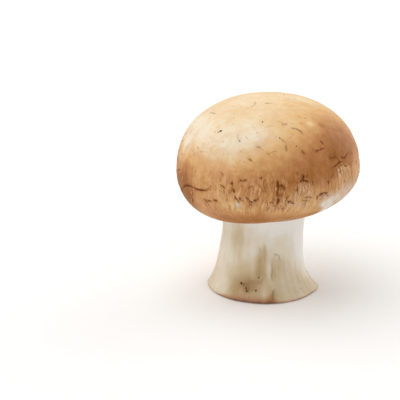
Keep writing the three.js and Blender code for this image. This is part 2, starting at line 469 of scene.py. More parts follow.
def stem_split_lines():
    """The stem's creases, at the front listed and round the rest at random."""
    rows = list(STEM_SPLITS)
    for _ in range(WILD_CREASES):
        rows.append((rng.uniform(0, 170), 1.5 + 14 * rng.random() ** 1.5, rng.uniform(1.5, 4.5),
                     rng.normal(90, 4), rng.uniform(-0.1, 0.1), rng.uniform(0.05, 0.14)))
    return edge_mesh("stem_splits", split_lines(rows, stem_radius, on_stem, -1))


# How a split is pressed in, as shares of its half-width unless another unit is named
FINEST_SPLIT = 0.24  # half-width that the mesh can hold; finer splits are as wide, but fainter
SPLIT_CORE = 0.3  # the deepest part reaches this far out
SPLIT_EDGE = 1.6  # and the split this far
SPLIT_RAGGED = 0.6  # millimetres that the fibres move its edges by
FAINTEST = (0.02, 0.25)  # a split of this half-width is this dark
DARKEST = (0.20, 0.94)
MARGIN_EDGE = 4.0  # the skin beside a split is browned out to here
LEAST_MARGIN = 0.15  # and this many millimetres more
LIP_EDGE = 5.0  # the skin above a split is lifted up to here
LIP_SIDES = (0.5, 0.1)  # millimetres beyond the split's ends in which the lip rises
TEAR_RAGGED = 1.2  # millimetres that the fibres move a tear's edges by
TEAR_EDGES = (-0.05, 0.3)  # millimetres into a tear in which the skin ends
LOWEST = (-1, -1, 0)  # metres: nothing is pressed below the floor


def nearest_split(tree, splits, place, fibre):
    """The nearest point on a split, that split's half-width, 1 inside it, how dark it is, and the
    browned margin beside it. Fibres make its edges ragged, and a thin split is paler."""
    nearest = add(tree, "GeometryNodeProximity", {0: splits, "Sample Position": place},
                  target_element="EDGES")
    index = add(tree, "GeometryNodeSampleNearest", [splits, place], domain="POINT")
    girth = add(tree, "GeometryNodeInputNamedAttribute", ["girth"], data_type="FLOAT")
    girth = add(tree, "GeometryNodeSampleIndex", [splits, girth, index])
    ragged = add(tree, "Math", [fibre, SPLIT_RAGGED * MM, nearest.outputs["Distance"]], "MULTIPLY_ADD")
    core = add(tree, "Math", [girth, SPLIT_CORE], "MULTIPLY")
    wide = add(tree, "Math", [girth, SPLIT_EDGE], "MULTIPLY")
    wide = add(tree, "Math", [wide, FINEST_SPLIT * MM], "MAXIMUM")
    split = add(tree, "MapRange", [ragged, wide, core], interpolation_type="SMOOTHSTEP")
    shade = add(tree, "MapRange", [girth, FAINTEST[0] * MM, DARKEST[0] * MM, FAINTEST[1], DARKEST[1]])
    dark = add(tree, "Math", [split, shade], "MULTIPLY")
    beyond = add(tree, "Math", [girth, MARGIN_EDGE, LEAST_MARGIN * MM], "MULTIPLY_ADD")
    margin = add(tree, "MapRange", [ragged, beyond, core, 0.0, shade],
                 interpolation_type="SMOOTHSTEP")
    return nearest.outputs["Position"], girth, split, dark, margin


def lip_above(tree, place, normal, nearest, girth):
    """How high the skin lifts above the nearest split, for a lip as high as the split is wide."""
    steepness = add(tree, "SeparateXYZ", [normal]).outputs["Z"]
    level = add(tree, "VectorMath", [normal, steepness], "SCALE")
    slope = add(tree, "VectorMath", [level, (0, 0, 1)], "SUBTRACT")
    downhill = add(tree, "VectorMath", [slope], "NORMALIZE")
    away = add(tree, "VectorMath", [place, nearest], "SUBTRACT")
    below = add(tree, "VectorMath", [away, downhill], "DOT_PRODUCT")
    reach = add(tree, "Math", [girth, -LIP_EDGE], "MULTIPLY")
    lip = add(tree, "MapRange", [below, reach, 0.0], interpolation_type="SMOOTHSTEP")
    above = add(tree, "Math", [below, 0.0], "LESS_THAN")
    along = add(tree, "VectorMath", [downhill, below], "SCALE")
    aside = add(tree, "VectorMath", [away, along], "DISTANCE")
    beside = add(tree, "MapRange", [aside, *(side * MM for side in LIP_SIDES)],
                 interpolation_type="SMOOTHSTEP")
    for share in (above, beside, girth):
        lip = add(tree, "Math", [lip, share], "MULTIPLY")
    return lip


def relief_tree():
    """Swells, fibres and splits pressed into a skin along its normals, but never below the floor.

    It leaves attributes for the material: split, 1 in the bottom of a split, margin, which fades
    from 1 at a split over the skin beside it, and bared, 1 where the skin is torn off."""
    tree, knob = new_tree("skin relief", {
        "Splits": "Object", "Split depth": "Float", "Lip": "Float", "Bared depth": "Float",
        "Fibre": "Vector", "Fibre height": "Float", "Swell size": "Float", "Swell height": "Float",
    })
    splits = add(tree, "GeometryNodeObjectInfo", [knob["Splits"]]).outputs["Geometry"]
    grain, fray, torn = (
        add(tree, "GeometryNodeInputNamedAttribute", [name], data_type=kind)
        for name, kind in (("grain", "FLOAT_VECTOR"), ("fray", "FLOAT"), ("torn", "FLOAT")))
    place = add(tree, "GeometryNodeInputPosition")
    normal = add(tree, "GeometryNodeInputNormal")

    # Fibres, a noise drawn out along the way the skin grew, and swells
    drawn = add(tree, "VectorMath", [grain, knob["Fibre"]], "MULTIPLY")
    fibre = add(tree, "TexNoise", [drawn, 1.0, 3.0])
    fibre = add(tree, "Math", [fibre, 0.5], "SUBTRACT")
    swell = add(tree, "Math", [1.0, knob["Swell size"]], "DIVIDE")
    swell = add(tree, "TexNoise", [place, swell, 2.0])
    swell = add(tree, "Math", [swell, 0.5], "SUBTRACT")

    # Splits with their lips, and the flesh bared inside a tear, with frayed edges
    nearest, girth, split, dark, margin = nearest_split(tree, splits, place, fibre)
    lip = lip_above(tree, place, normal, nearest, girth)
    inside = add(tree, "Math", [fibre, TEAR_RAGGED, torn], "MULTIPLY_ADD")
    bared = add(tree, "MapRange", [inside, *TEAR_EDGES], interpolation_type="SMOOTHSTEP")
    frayed = add(tree, "Math", [fray, bared], "MAXIMUM")
    frayed = add(tree, "Math", [frayed, knob["Fibre height"]], "MULTIPLY")

    # Heights, summed and pressed in
    sunk = add(tree, "Math", [split, girth], "MULTIPLY")
    sunk = add(tree, "Math", [sunk, knob["Split depth"]], "MULTIPLY")
    sunk = add(tree, "Math", [bared, knob["Bared depth"], sunk], "MULTIPLY_ADD")
    height = 0.0
    for part, weight in ((swell, knob["Swell height"]), (fibre, frayed), (lip, knob["Lip"])):
        height = add(tree, "Math", [part, weight, height], "MULTIPLY_ADD")
    height = add(tree, "Math", [height, sunk], "SUBTRACT")
    moved = add(tree, "VectorMath", [normal, height], "SCALE")
    moved = add(tree, "VectorMath", [place, moved], "ADD")
    moved = add(tree, "VectorMath", [moved, LOWEST], "MAXIMUM")
    skin = knob["Geometry"]
    for label, value in (("split", dark), ("margin", margin), ("bared", bared)):
        skin = add(tree, "GeometryNodeStoreNamedAttribute", {0: skin, "Name": label, "Value": value},
                   data_type="FLOAT")
    skin = add(tree, "GeometryNodeSetPosition", {0: skin, "Position": moved})
    return end_tree(tree, skin, knob["Material"])


# ---------------------------------------------------------------- cap

LEAST_FRAY = 0.04
BAND_FRAY = 0.45  # in the band above the rim
FRAY_RISE = (25, 35.5)  # drops between which the band begins
FRAY_FALL = (37, 40.5)  # and between which it loses the share FRAY_LOSS
FRAY_LOSS = 0.85
# Where the skin frays more or less than elsewhere: azimuth, drop, radius, amount
FRAY_PATCHES = (
    (-88, 34.7, 8, 0.5), (-112, 35.7, 7, 0.35), (-74, 32.7, 5, 0.2), (-42, 31.7, 5, 0.1),
    (-56, 30.7, 3, -0.3), (-160, 33.7, 8, -0.2), (30, 33.7, 8, 0.4), (75, 32.7, 7, -0.25),
    (120, 33.7, 10, 0.45),
)

# How ripe the skin is, from 0, cream, to 1, dark brown: at the crown, gained between two drops,
# and in patches by azimuth, drop, radius, amount. One patch also holds painted shade.
CROWN_RIPENESS = 0.22
RIPENING = ((0.38, 16, 31), (0.12, 38, 43))
RIPE_AND_SHADE_PATCHES = (
    (-40, 23.7, 10, 0.46), (-50, 23.5, 4, 0.14), (-25, 21.5, 6, 0.15), (-70, 28.7, 7, 0.2),
    (-52, 26.7, 4, -0.08), (-50.5, 26.1, 0.8, 0.28), (-46, 26.1, 0.9, 0.3), (-54, 24.8, 2.5, -0.1),
    # -160, 36.8: partly brown skin, partly painted shadow of a neighbouring mushroom on the left of the
    # rim
    (-41.5, 17.5, 1, 0.14), (-160, 36.8, 4.5, 0.84), (-178, 21.7, 6, -0.24), (-168, 24, 5, -0.2),
    (-164, 26.5, 3.5, -0.2), (-149, 23, 6, -0.18), (-125, 23.7, 9, -0.17), (-121, 25.6, 5, -0.12),
    (-137, 25.5, 3.5, -0.1), (-96, 20.7, 5, -0.12), (-91.5, 21.4, 3, 0.1), (-108, 22.5, 5, -0.12),
    (-103, 25.5, 4, 0.16), (0, 8.3, 5, -0.16), (-12.5, 8.9, 1.8, 0.14), (178, 6.3, 5, -0.12),
    (-90, 8.3, 6, -0.06), (-26, 6.8, 3.5, 0.06), (-50, 6.3, 3, 0.06), (-20, 11.7, 7, 0.08),
    (-52, 15.9, 1, -0.26), (-122, 32, 4, 0.14), (-153, 31.7, 3, 0.14), (-108, 34, 5, 0.1),
    (-87, 30.7, 5, 0.05), (-98, 32.5, 2.6, 0.12), (-86.8, 31.6, 0.7, 0.3), (-86.8, 33.4, 0.7, 0.3),
    (-86.5, 35.3, 0.7, 0.3), (-73, 36, 2.6, -0.14), (-118, 37.2, 4, -0.22), (-103, 37.2, 4, -0.22),
    (-111.2, 37.2, 2.2, -0.16), (-86, 37, 4, -0.1), (-71.8, 33, 3.2, -0.24), (-61, 35.2, 2.5, -0.2),
    (-68, 38.2, 4, -0.2), (-40, 33.7, 5, -0.25), (-81.8, 33.2, 2.5, 0.14), (-62, 34.4, 2, 0.08),
    (-56, 33.3, 2.6, -0.14), (-18, 31.5, 4, -0.25), (-50, 29.7, 2, 0.1), (-101, 41.5, 4, 0.15),
    (-115, 41.7, 6, 0.16), (-140, 41, 4, -0.15), (25, 24.7, 9, 0.35), (60, 30.7, 8, 0.15),
    (85, 19.7, 8, -0.12), (110, 26.7, 9, 0.3), (150, 23.7, 8, -0.1), (165, 32.7, 7, 0.25),
    (70, 41.7, 6, 0.15), (0, 41.7, 5, 0.12),
)

# The pale wedge at the front right of the rim
WEDGE_LEFT = (10.7, 13)  # millimetres right of the cap's middle in which its left edge fades in
WEDGE_LEAN = 0.15  # that edge moves right by this for each millimetre below WEDGE_MIDDLE
WEDGE_MIDDLE = 36
WEDGE_WAVES = (0.4, 1.7)  # how far that edge waves, and radians of a wave to a millimetre
WEDGE_TOP = 33.4  # the skin begins to pale at this drop
WEDGE_FULL = 38  # and is palest from here
WEDGE_FOOT = (41, 44.5)
PEACH_FROM = (-52, -38)  # azimuths in which cream turns to peach
WEDGE_RIGHT = (-36, -6)  # and peach ends
# Cream spots: azimuth, drop, radius, amount
CREAM_SPOTS = (
    (-110.8, 36.5, 0.75, 0.85), (-76.8, 36.2, 0.6, 0.5), (110, 36, 0.9, 0.8),
)


def ball(cuts):
    """Directions and faces of a cube cut into squares and blown up to a ball, with no poles."""
    cube = bmesh.new()
    bmesh.ops.create_cube(cube, size=2)
    bmesh.ops.subdivide_edges(cube, edges=cube.edges, cuts=cuts, use_grid_fill=True)
    points, faces = points_and_faces(cube)
    even = np.tan(points * math.pi / 4)
    return even / np.linalg.norm(even, axis=1, keepdims=True), faces


def patched(base, points, patches):
    """A base plus patches, each a place on the cap, a radius in which it fades, and an amount."""
    for azimuth, drop, radius, amount in patches:
        apart = np.linalg.norm(points - on_cap(azimuth, drop), axis=1)
        base = base + amount * np.exp(-(apart / radius) ** 2)
    return base


def ripeness(points, drop):
    """The cap's colour: pale crown, brown flank, darker towards the rim, and patches, one partly
    painted shade.
    """
    ripe_and_shaded = CROWN_RIPENESS
    for gain, start, end in RIPENING:
        ripe_and_shaded = ripe_and_shaded + gain * ease(drop, start, end)
    return patched(ripe_and_shaded, points, RIPE_AND_SHADE_PATCHES)


def cream(points, azimuth, drop, radius):
    """Where the skin stayed pale, 1 for cream and 0.5 for peach: a wedge at the front right of the
    rim, that runs on to the right in peach, and a few spots. Azimuth in degrees."""
    waves = WEDGE_WAVES[0] * np.sin(WEDGE_WAVES[1] * drop)
    across = radius * np.cos(np.radians(azimuth)) - WEDGE_LEAN * (drop - WEDGE_MIDDLE) + waves
    # Its top rises to the right, and there the skin pales more quickly
    top = WEDGE_TOP - 0.06 * np.clip(azimuth + 50, 0, 28)
    full = WEDGE_FULL - 2.2 * ease(azimuth, -50, -40)
    begun = ease(across, *WEDGE_LEFT) * ease(drop, top, full) * (azimuth < 0)
    begun = begun * (1 - ease(drop, *WEDGE_FOOT))
    wedge = begun * (1 - 0.5 * ease(azimuth, *PEACH_FROM)) * (1 - ease(azimuth, *WEDGE_RIGHT))
    return np.clip(wedge + patched(0, points, CREAM_SPOTS), 0, 1)


def frayed(points, drop):
    """How much the skin frays: in a band above the rim, and more in some places than others."""
    band = ease(drop, *FRAY_RISE) * (1 - FRAY_LOSS * ease(drop, *FRAY_FALL)) * (drop < LIP_DROP)
    return LEAST_FRAY + band * np.clip(BAND_FRAY + patched(0, points, FRAY_PATCHES), 0.1, 1)


def torn(azimuth, drop, radius):
    """How far inside a tear a point lies, in millimetres, and below 0 outside. Azimuth in degrees."""
    deepest = np.full(len(drop), -1.0)
    for middle, top, width, length, arch in (*FRONT_TEARS, *WILD_TEARS):
        aside = np.abs(np.radians(turn_between(azimuth, middle))) * radius
        upper = drop - top - arch * (2 * aside / width) ** 2
        lower = (top + length - drop) / TEAR_FRAY
        inside = np.minimum(np.minimum(upper, lower), width / 2 - aside)
        deepest = np.maximum(deepest, inside)
    return deepest


def make_cap(material, relief, splits):
    """The cap: evenly spread points on the grown profile, with the relief pressed in."""
    directions, faces = ball(CAP_CUTS)
    weight = np.where(cap_drops > LIP_DROP, ROOF_WEIGHT, 1)
    area = np.cumsum(cap_radii * weight * np.gradient(cap_drops))
    share = (1 - directions[:, 2]) / 2
    drop = np.interp(share, (area - area[0]) / (area[-1] - area[0]), cap_drops)
    azimuth = np.arctan2(directions[:, 1], directions[:, 0])
    degrees = np.degrees(azimuth)
    points = grow(round_cap(azimuth, drop))
    cap = new_piece("mushroom_cap", points, faces=faces,
                    grain=turned(np.full(len(drop), CAP_RADIUS), drop, azimuth), drop=drop,
                    fray=frayed(points, drop), ripeness=ripeness(points, drop),
                    cream=cream(points, degrees, drop, cap_radius(drop)),
                    torn=torn(degrees, drop, cap_radius(drop)))
    return run_tree(cap, relief, {
        "Splits": splits, "Split depth": 1.2, "Lip": 0.5, "Bared depth": 0.12 * MM,
        "Fibre": (2.0, 2.0, 0.35), "Fibre height": 0.12 * MM, "Swell size": 12 * MM,
        "Swell height": 0.5 * MM, "Material": material,
    })


# ---------------------------------------------------------------- stem

# How stained the stem is, from 0, clean, to 1, tan brown: at the top, gained towards the foot
# between two heights, and in patches by azimuth, height, radius, how many times taller than wide,
# amount. One patch is painted shade.
LEAST_STAIN = 0.12
FOOT_STAIN = 0.36
FOOT_STAIN_FADE = (2, 16)
STEM_STAINS_AND_SHADE = (
    (-89.6, 13.6, 0.6, 4, 0.3), (-94.5, 11.9, 0.6, 3.6, 0.24), (-92.3, 8.6, 1.6, 2.2, 0.38),
    (-112, 6, 6, 1, 0.18), (-128, 18, 2.4, 1.6, 0.34), (-104, 3.8, 2.4, 0.9, 0.22),
    (-112, 4.4, 2.6, 1, 0.16), (-81.5, 8, 0.7, 6, -0.2), (-160, 18, 3.5, 1.4, 0.24),
    (-68.8, 15.2, 1.5, 1.6, 0.15), (-53.8, 15, 1.1, 2.4, 0.13), (-82, 12, 1.6, 1.6, 0.1),
    (-46, 6, 2.6, 1, 0.06), (-110.5, 4.2, 0.6, 0.8, 0.15), (-106.5, 2.9, 0.6, 1.3, 0.18),
    (-99.5, 4.9, 1.4, 0.4, 0.12), (-76, 10, 2.6, 1.6, 0.07), (-124, 2.4, 2.2, 1, 0.2),
    (-66, 22, 4, 1, -0.1), (-77.5, 1.4, 1.2, 1.6, 0.34), (-79, 0.4, 1.8, 0.5, 0.25),
    (-74.5, 7.2, 0.6, 4, 0.18), (-66, 9.5, 1.2, 1.8, 0.14), (-60, 16.5, 1.2, 3, 0.12),
    (-48, 16, 0.8, 4, 0.1), (-87, 2.5, 1.4, 1.2, -0.12), (-53, 11, 3, 1.2, 0.1),
    # -38, 4.6: painted shade at the right of the foot
    (-12, 5.5, 3, 1.6, -0.22), (-38, 4.6, 2.4, 1, 0.08), (-145, 3.5, 3.5, 1.2, -0.18),
    (-25, 12, 5, 2, -0.18), (-60, 19, 7, 1, -0.15), (0, 3, 4, 1, 0.15),
    (40, 9, 2.5, 2.5, 0.28), (75, 3, 3.5, 0.9, 0.35), (105, 14, 2.2, 2.5, 0.22),
    (150, 6, 3, 1.6, 0.3), (170, 14, 3, 1.8, 0.15),
)

LEAST_BROWNED = 0.3  # height that the browning of the cut's edge climbs everywhere
# Where it climbs further: azimuth, degrees to its side where that has faded to a third, and height
BROWNED_EDGES = (
    (-106, 26, 2.1), (-80, 5, 1), (65, 26, 1.6), (150, 18, 1),
)


def browned(azimuth):
    """How high the browning of the cut edge climbs the stem. Azimuth in degrees."""
    return LEAST_BROWNED + sum(rise * np.exp(-(turn_between(azimuth, middle) / wide) ** 2)
                               for middle, wide, rise in BROWNED_EDGES)


def stain(points):
    """How tan the stem's side is: most at the foot, and the patches, one of them painted shade."""
    stained_and_shaded = LEAST_STAIN + FOOT_STAIN * (1 - ease(points[:, 2], *FOOT_STAIN_FADE))
    for azimuth, place, radius, tall, amount in STEM_STAINS_AND_SHADE:
        away = points - on_stem(azimuth, place)
        apart = np.hypot(np.hypot(away[:, 0], away[:, 1]), away[:, 2] / tall)
        stained_and_shaded = stained_and_shaded + amount * np.exp(-(apart / radius) ** 2)
    return stained_and_shaded


def make_stem(material, relief, splits):
    """The stem: rings from the middle of the cut, up the side and over the veil."""
    veil_top = ROOF_HEIGHT - VEIL_OVERLAP
    side_heights = np.linspace(CUT_ROUNDING, veil_top - VEIL_THICKNESS, STEM_ROWS)
    side_radii = stem_radius(side_heights)
    cut_radii = np.linspace(0, side_radii[0] - CUT_ROUNDING, CUT_RINGS + 1)[1:]
    radii = np.concatenate([cut_radii, side_radii, [side_radii[-1], side_radii[-1] / 2]])
    heights = np.concatenate([np.zeros(CUT_RINGS), side_heights, [veil_top, veil_top]])
    azimuth = np.radians(np.arange(STEM_COLUMNS) * 360 / STEM_COLUMNS)
    around, radius = np.meshgrid(azimuth, radii)
    height = np.repeat(heights[:, None], STEM_COLUMNS, axis=1)
    poles = np.array([[0, 0, 0], [0, 0, veil_top]])
    round_points = np.concatenate([turned(radius.ravel(), height.ravel(), around.ravel()), poles])
    corner = np.arange(radius.size).reshape(radius.shape)
    right = np.roll(corner, -1, axis=1)
    quads = np.stack([corner[:-1], right[:-1], right[1:], corner[1:]], axis=-1).reshape(-1, 4)
    bottom, top = radius.size, radius.size + 1
    fans = [(bottom, b, a) for a, b in zip(corner[0], right[0])]
    fans += [(top, a, b) for a, b in zip(corner[-1], right[-1])]
    x, y, up = round_points.T
    angle = np.arctan2(y, x)
    cut = np.zeros(len(angle))
    cut[:CUT_RINGS * STEM_COLUMNS] = 1
    cut[bottom] = 1
    points = grow(round_points)
    stem = new_piece("mushroom_stem", points, faces=quads.tolist() + fans,
                     grain=turned(np.full(len(angle), NECK_RADIUS), up, angle),
                     fray=1 - cut, cut=cut, from_axis=np.hypot(x, y), stain=stain(points), height=up,
                     browned=browned(np.degrees(angle)), torn=np.full(len(angle), -1.0))
    return run_tree(stem, relief, {
        "Splits": splits, "Split depth": 0.9, "Lip": 0.5, "Bared depth": 0.08 * MM,
        "Fibre": (0.6, 0.6, 0.06), "Fibre height": 0.14 * MM, "Swell size": 9 * MM,
        "Swell height": 0.35 * MM, "Material": material,
    })


# ---------------------------------------------------------------- scales and crumbs

# Lifted scales seen from the front: azimuth, drop, length
FRONT_SCALES = (
    (-83.5, 33.9, 2.2), (-82.4, 34.9, 1.6), (-79.5, 35.9, 1.6), (-76.5, 32.7, 2), (-74.5, 30.7, 1.6),
    (-71.5, 30.5, 2.2), (-69.5, 30.5, 1.7), (-67.2, 32.1, 1.9), (-86, 35.9, 1.3), (-89.5, 36.1, 1.4),
    (-93.5, 35.3, 1.5), (-99.5, 35.9, 1.3), (-102.5, 35.9, 1.4), (-107, 35.3, 1.5), (-111, 35.3, 1.6),
    (-113.5, 33.9, 1.3), (-117.5, 35.3, 1.3), (-123, 36.5, 1.1), (-131, 36.9, 1.2), (-62.4, 35.1, 1.5),
    (-59, 34.6, 1.4), (-47, 28.7, 1.5), (-41, 28.3, 1.7), (-36, 29.5, 1.5),
)
WILD_SCALES = 90
SCALE_DROPS = (29, 39)
SCALE_LENGTHS = (0.8, 1.7)
SCALE_WIDTHS = (0.7, 1.3)  # shares of the usual width
# Dark crumbs: azimuth, drop or height, size
CAP_CRUMBS = (
    (-136, 19.1, 0.6), (-100, 14, 0.46), (-115, 20.7, 0.4), (-135, 13.9, 0.26), (-147, 9.4, 0.24),
    (-179, 20.9, 0.3), (-176, 24.5, 0.26), (-142, 21.6, 0.22), (-150, 27.4, 0.3), (-121, 24.6, 0.2),
    (-112, 23.5, 0.18), (-52, 13.7, 0.34), (-85, 19.1, 0.38), (-74, 21.7, 0.24), (-46, 34.4, 0.32),
    (-141, 40.7, 0.3), (-46, 26.6, 0.24), (-73.5, 21.6, 0.26),
)
STEM_CRUMBS = (
    (-115.8, 4.5, 0.7), (-112.5, 4.2, 0.34), (-109.4, 3.4, 0.52), (-107.9, 2.8, 0.66), (-97, 3.1, 0.56),
    (-94.2, 6.3, 0.46), (-92.5, 4.9, 0.26), (-104.5, 1.4, 0.24), (-40, 2, 0.22),
)
WILD_CRUMBS = 40
CRUMB_SIZES = (0.15, 0.45)
CAP_SHARE = 0.6  # of them are on the cap

# Inside a scale and a crumb of size 1
SCALE_STATIONS = 6  # cross-sections along a scale, each a flat lozenge
SCALE_HALF_WIDTH = 0.13
SCALE_LIFT = 0.14
SCALE_THICKNESS = 0.03
SCALE_TIP = 0.01  # half-width and thickness left at the tip
ROOT_DEPTH = 0.03  # of a scale under the skin
CRUMB_SHAPE = (1, 0.8, 0.55)
CRUMB_DENTS = 0.14
CRUMB_DEPTH = 0.05

# How far copies turn from lying straight, in radians about X, Y and Z, and the seed of their turns
SCALE_TURNS = ((0.3, 0.08, 0.25), 3)
CRUMB_TURNS = ((0.3, 0.3, 3.1), 5)


def scatter_tree():
    """Copies of one small shape set on a skin at given sites, Z out of it and X down it."""
    tree, knob = new_tree("scatter", {
        "Skin": "Object", "Shape": "Object", "Turn": "Vector", "Seed": "Int",
    })
    skin, shape = (add(tree, "GeometryNodeObjectInfo", [knob[name]]).outputs["Geometry"]
                   for name in ("Skin", "Shape"))
    site = add(tree, "GeometryNodeInputPosition")
    nearest = add(tree, "GeometryNodeProximity", {0: skin, "Sample Position": site},
                  target_element="FACES")
    out = add(tree, "GeometryNodeInputNormal")
    out = add(tree, "GeometryNodeSampleNearestSurface",
              {0: skin, "Value": out, "Sample Position": site}, data_type="FLOAT_VECTOR")
    facing = add(tree, "FunctionNodeAxesToRotation", [out, (0, 0, -1)], primary_axis="Z",
                 secondary_axis="X")
    least = add(tree, "VectorMath", [knob["Turn"], -1.0], "SCALE")
    turn = add(tree, "FunctionNodeRandomValue",
               {"Min": least, "Max": knob["Turn"], "Seed": knob["Seed"]}, data_type="FLOAT_VECTOR")
    turn = add(tree, "FunctionNodeEulerToRotation", [turn])
    facing = add(tree, "FunctionNodeRotateRotation", [facing, turn], rotation_space="LOCAL")
    size = add(tree, "GeometryNodeInputNamedAttribute", ["size"], data_type="FLOAT_VECTOR")
    copies = add(tree, "GeometryNodeSetPosition",
                 {0: knob["Geometry"], "Position": nearest.outputs["Position"]})
    copies = add(tree, "GeometryNodeInstanceOnPoints",
                 {0: copies, "Instance": shape, "Rotation": facing, "Scale": size})
    tint = add(tree, "FunctionNodeRandomValue", {"Min": 0.0, "Max": 1.0, "Seed": knob["Seed"]},
               data_type="FLOAT")
    copies = add(tree, "GeometryNodeStoreNamedAttribute", {0: copies, "Name": "tint", "Value": tint},
                 data_type="FLOAT", domain="INSTANCE")
    return end_tree(tree, copies, knob["Material"])


def scale_shape():
    """One lifted scale, a length of 1 along X: a thin pointed blade rooted in the skin."""
    points, along, faces = [], [], []
    for share in np.linspace(0, 1, SCALE_STATIONS):
        half_width = SCALE_HALF_WIDTH * (1 - share) ** 0.6 + SCALE_TIP
        lift = SCALE_LIFT * share ** 1.6 - ROOT_DEPTH
        thick = SCALE_THICKNESS * (1 - share) + SCALE_TIP
        points += [(share, -half_width, lift), (share, 0, lift + thick), (share, half_width, lift),
                   (share, 0, lift - thick)]
        along += [share] * 4
    last = 4 * (SCALE_STATIONS - 1)
    for start in range(0, last, 4):
        for i in range(4):
            j = (i + 1) % 4
            faces.append((start + i, start + j, start + 4 + j, start + 4 + i))
    faces.append((3, 2, 1, 0))
    faces.append((last, last + 1, last + 2, last + 3))
    return new_piece("scale_shape", np.array(points) / MM, faces=faces, along=along)


def crumb_shape():
    """One crumb, a width of 1: a dented lump of 80 faces, sunk a little into the skin."""
    lump = bmesh.new()
    bmesh.ops.create_icosphere(lump, subdivisions=2, radius=0.5)
    points, faces = points_and_faces(lump)
    dents = np.sin(9 * points[:, [1, 2, 0]]).sum(axis=1, keepdims=True)
    points = points * (1 + CRUMB_DENTS * dents) * CRUMB_SHAPE - (0, 0, CRUMB_DEPTH)
    return new_piece("crumb_shape", points / MM, faces=faces)


def scatter(name, tree, rows, where, proportions, skin, shape, turns, material):
    """A piece made of copies of shape on the skin, one for each azimuth, place and size in rows."""
    sites = np.concatenate([where(azimuth, place) for azimuth, place, _ in rows])
    sizes = np.array([size for _, _, size in rows])[:, None] * proportions
    piece = new_piece(name, sites, size=sizes * MM)
    turn, seed = turns
    run_tree(piece, tree, {
        "Skin": skin, "Shape": shape, "Turn": turn, "Seed": seed, "Material": material,
    })
    piece.data.shade_smooth()
    return piece


def make_scales(tree, skin, material):
    """Small scales of torn skin that lift towards the rim."""
    rows = list(FRONT_SCALES)
    for _ in range(WILD_SCALES):
        rows.append((rng.uniform(-180, 180), mostly_high(*SCALE_DROPS, 3, 2),
                     rng.uniform(*SCALE_LENGTHS)))
    widths = rng.uniform(*SCALE_WIDTHS, len(rows))
    proportions = np.stack([np.ones(len(rows)), widths, widths], axis=1)
    shape = scale_shape()
    piece = scatter("cap_scales", tree, rows, on_cap, proportions, skin, shape, SCALE_TURNS, material)
    bpy.data.objects.remove(shape)
    return piece


def make_crumbs(tree, cap_piece, stem_piece, material):
    """Crumbs of the dark soil that the mushroom grew through."""
    cap_rows = list(CAP_CRUMBS)
    stem_rows = list(STEM_CRUMBS)
    for _ in range(WILD_CRUMBS):
        size = rng.uniform(*CRUMB_SIZES)
        if rng.random() < CAP_SHARE:
            cap_rows.append((rng.uniform(-10, 185), rng.uniform(4, 44), size))
        else:
            stem_rows.append((rng.uniform(-20, 210), 6 * rng.random() ** 1.5 + 0.6, size))
    shape = crumb_shape()
    made = [scatter(name, tree, rows, where, (1, 1, 1), skin, shape, CRUMB_TURNS, material)
            for name, rows, where, skin in (("cap_crumbs", cap_rows, on_cap, cap_piece),
                                            ("stem_crumbs", stem_rows, on_stem, stem_piece))]
    bpy.data.objects.remove(shape)
    return made


# ---------------------------------------------------------------- materials

# Sizes of the patterns in the cap's cuticle
CLOUD_SIZE = 7
DAPPLE_SIZE = 1.8
SWAY_SIZE = 4
SWAY = 1.3  # how far fibres bend aside
FIBRE_SIZE = (0.27, 1.5)  # width and length, coarser than real ones so that they show
BUNDLE_SIZE = (0.9, 4.5)
PATCH_SIZE = 2.6
BLUSH_SIZE = 5
SPECKS = (1.3, 0.75, 0.6)  # spacing, largest size and share kept
HAIRLINES = (3.4, 0.34)  # size of their turns, and width
CUTICLE_GRAIN = 0.35

# Sizes of the patterns in the stem's flesh
STREAK_SIZE = (1.7, 17)  # width and length
STAIN_SIZE = 4
BLOT_SIZE = 6
DRAG_SIZE = (0.9, 15)  # of the knife's drag lines along Y
PITH = (4.6, 4.1)  # from the axis, with blots added: the pith fades in between these
SKIN_RING = (FOOT_RADIUS + 0.6, FOOT_RADIUS + 1.6)  # and the pale skin ring between these
FLESH_GRAIN = 0.5

# The grain of torn cuticle and of soil, and the depth of its relief
TORN_GRAIN = 0.3
SOIL_GRAIN = 0.2
GRAIN_DEPTH = 0.05


def new_material(name, surface):
    """A material of that name, from the shader inputs that surface makes in its tree."""
    material = bpy.data.materials.new(name)
    material.use_nodes = True
    tree = material.node_tree
    tree.nodes.clear()
    shader = add(tree, "BsdfPrincipled", surface(tree))
    add(tree, "OutputMaterial", [shader])
    return material


def skin_fibres(tree, grain, width, length, detail):
    """Fibres of about this width and length that run down the skin."""
    drawn = add(tree, "VectorMath", [grain, (1, 1, width / length)], "MULTIPLY")
    return add(tree, "TexNoise", [drawn, 0.5 / width, detail, 0.6])


def specks(tree, place, spacing, size, share):
    """1 in the middle of small round specks: their spacing, largest size and share kept."""
    cells = add(tree, "TexVoronoi", [place, PER_MM / spacing])
    chance = add(tree, "SeparateXYZ", [cells.outputs["Color"]]).outputs
    kept = add(tree, "Math", [chance["X"], share], "LESS_THAN")
    reach = add(tree, "Math", [chance["Y"], size / spacing / 2], "MULTIPLY")
    speck = add(tree, "MapRange", [cells.outputs["Distance"], reach, 0.0])
    return add(tree, "Math", [speck, kept], "MULTIPLY")


def hairlines(tree, place, size, width):
    """1 along faint wandering lines: the size of their turns, and their width."""
    field = add(tree, "TexNoise", [place, PER_MM / size, 1.0])
    off = add(tree, "Math", [field, 0.5], "SUBTRACT")
    off = add(tree, "Math", [off], "ABSOLUTE")
    line = add(tree, "MapRange", [off, 0.2 * width / size, 0.0])
    breaks = add(tree, "TexNoise", [place, 1.7 * PER_MM / size])
    kept = add(tree, "MapRange", [breaks, 0.54, 0.62])
    return add(tree, "Math", [line, kept], "MULTIPLY")


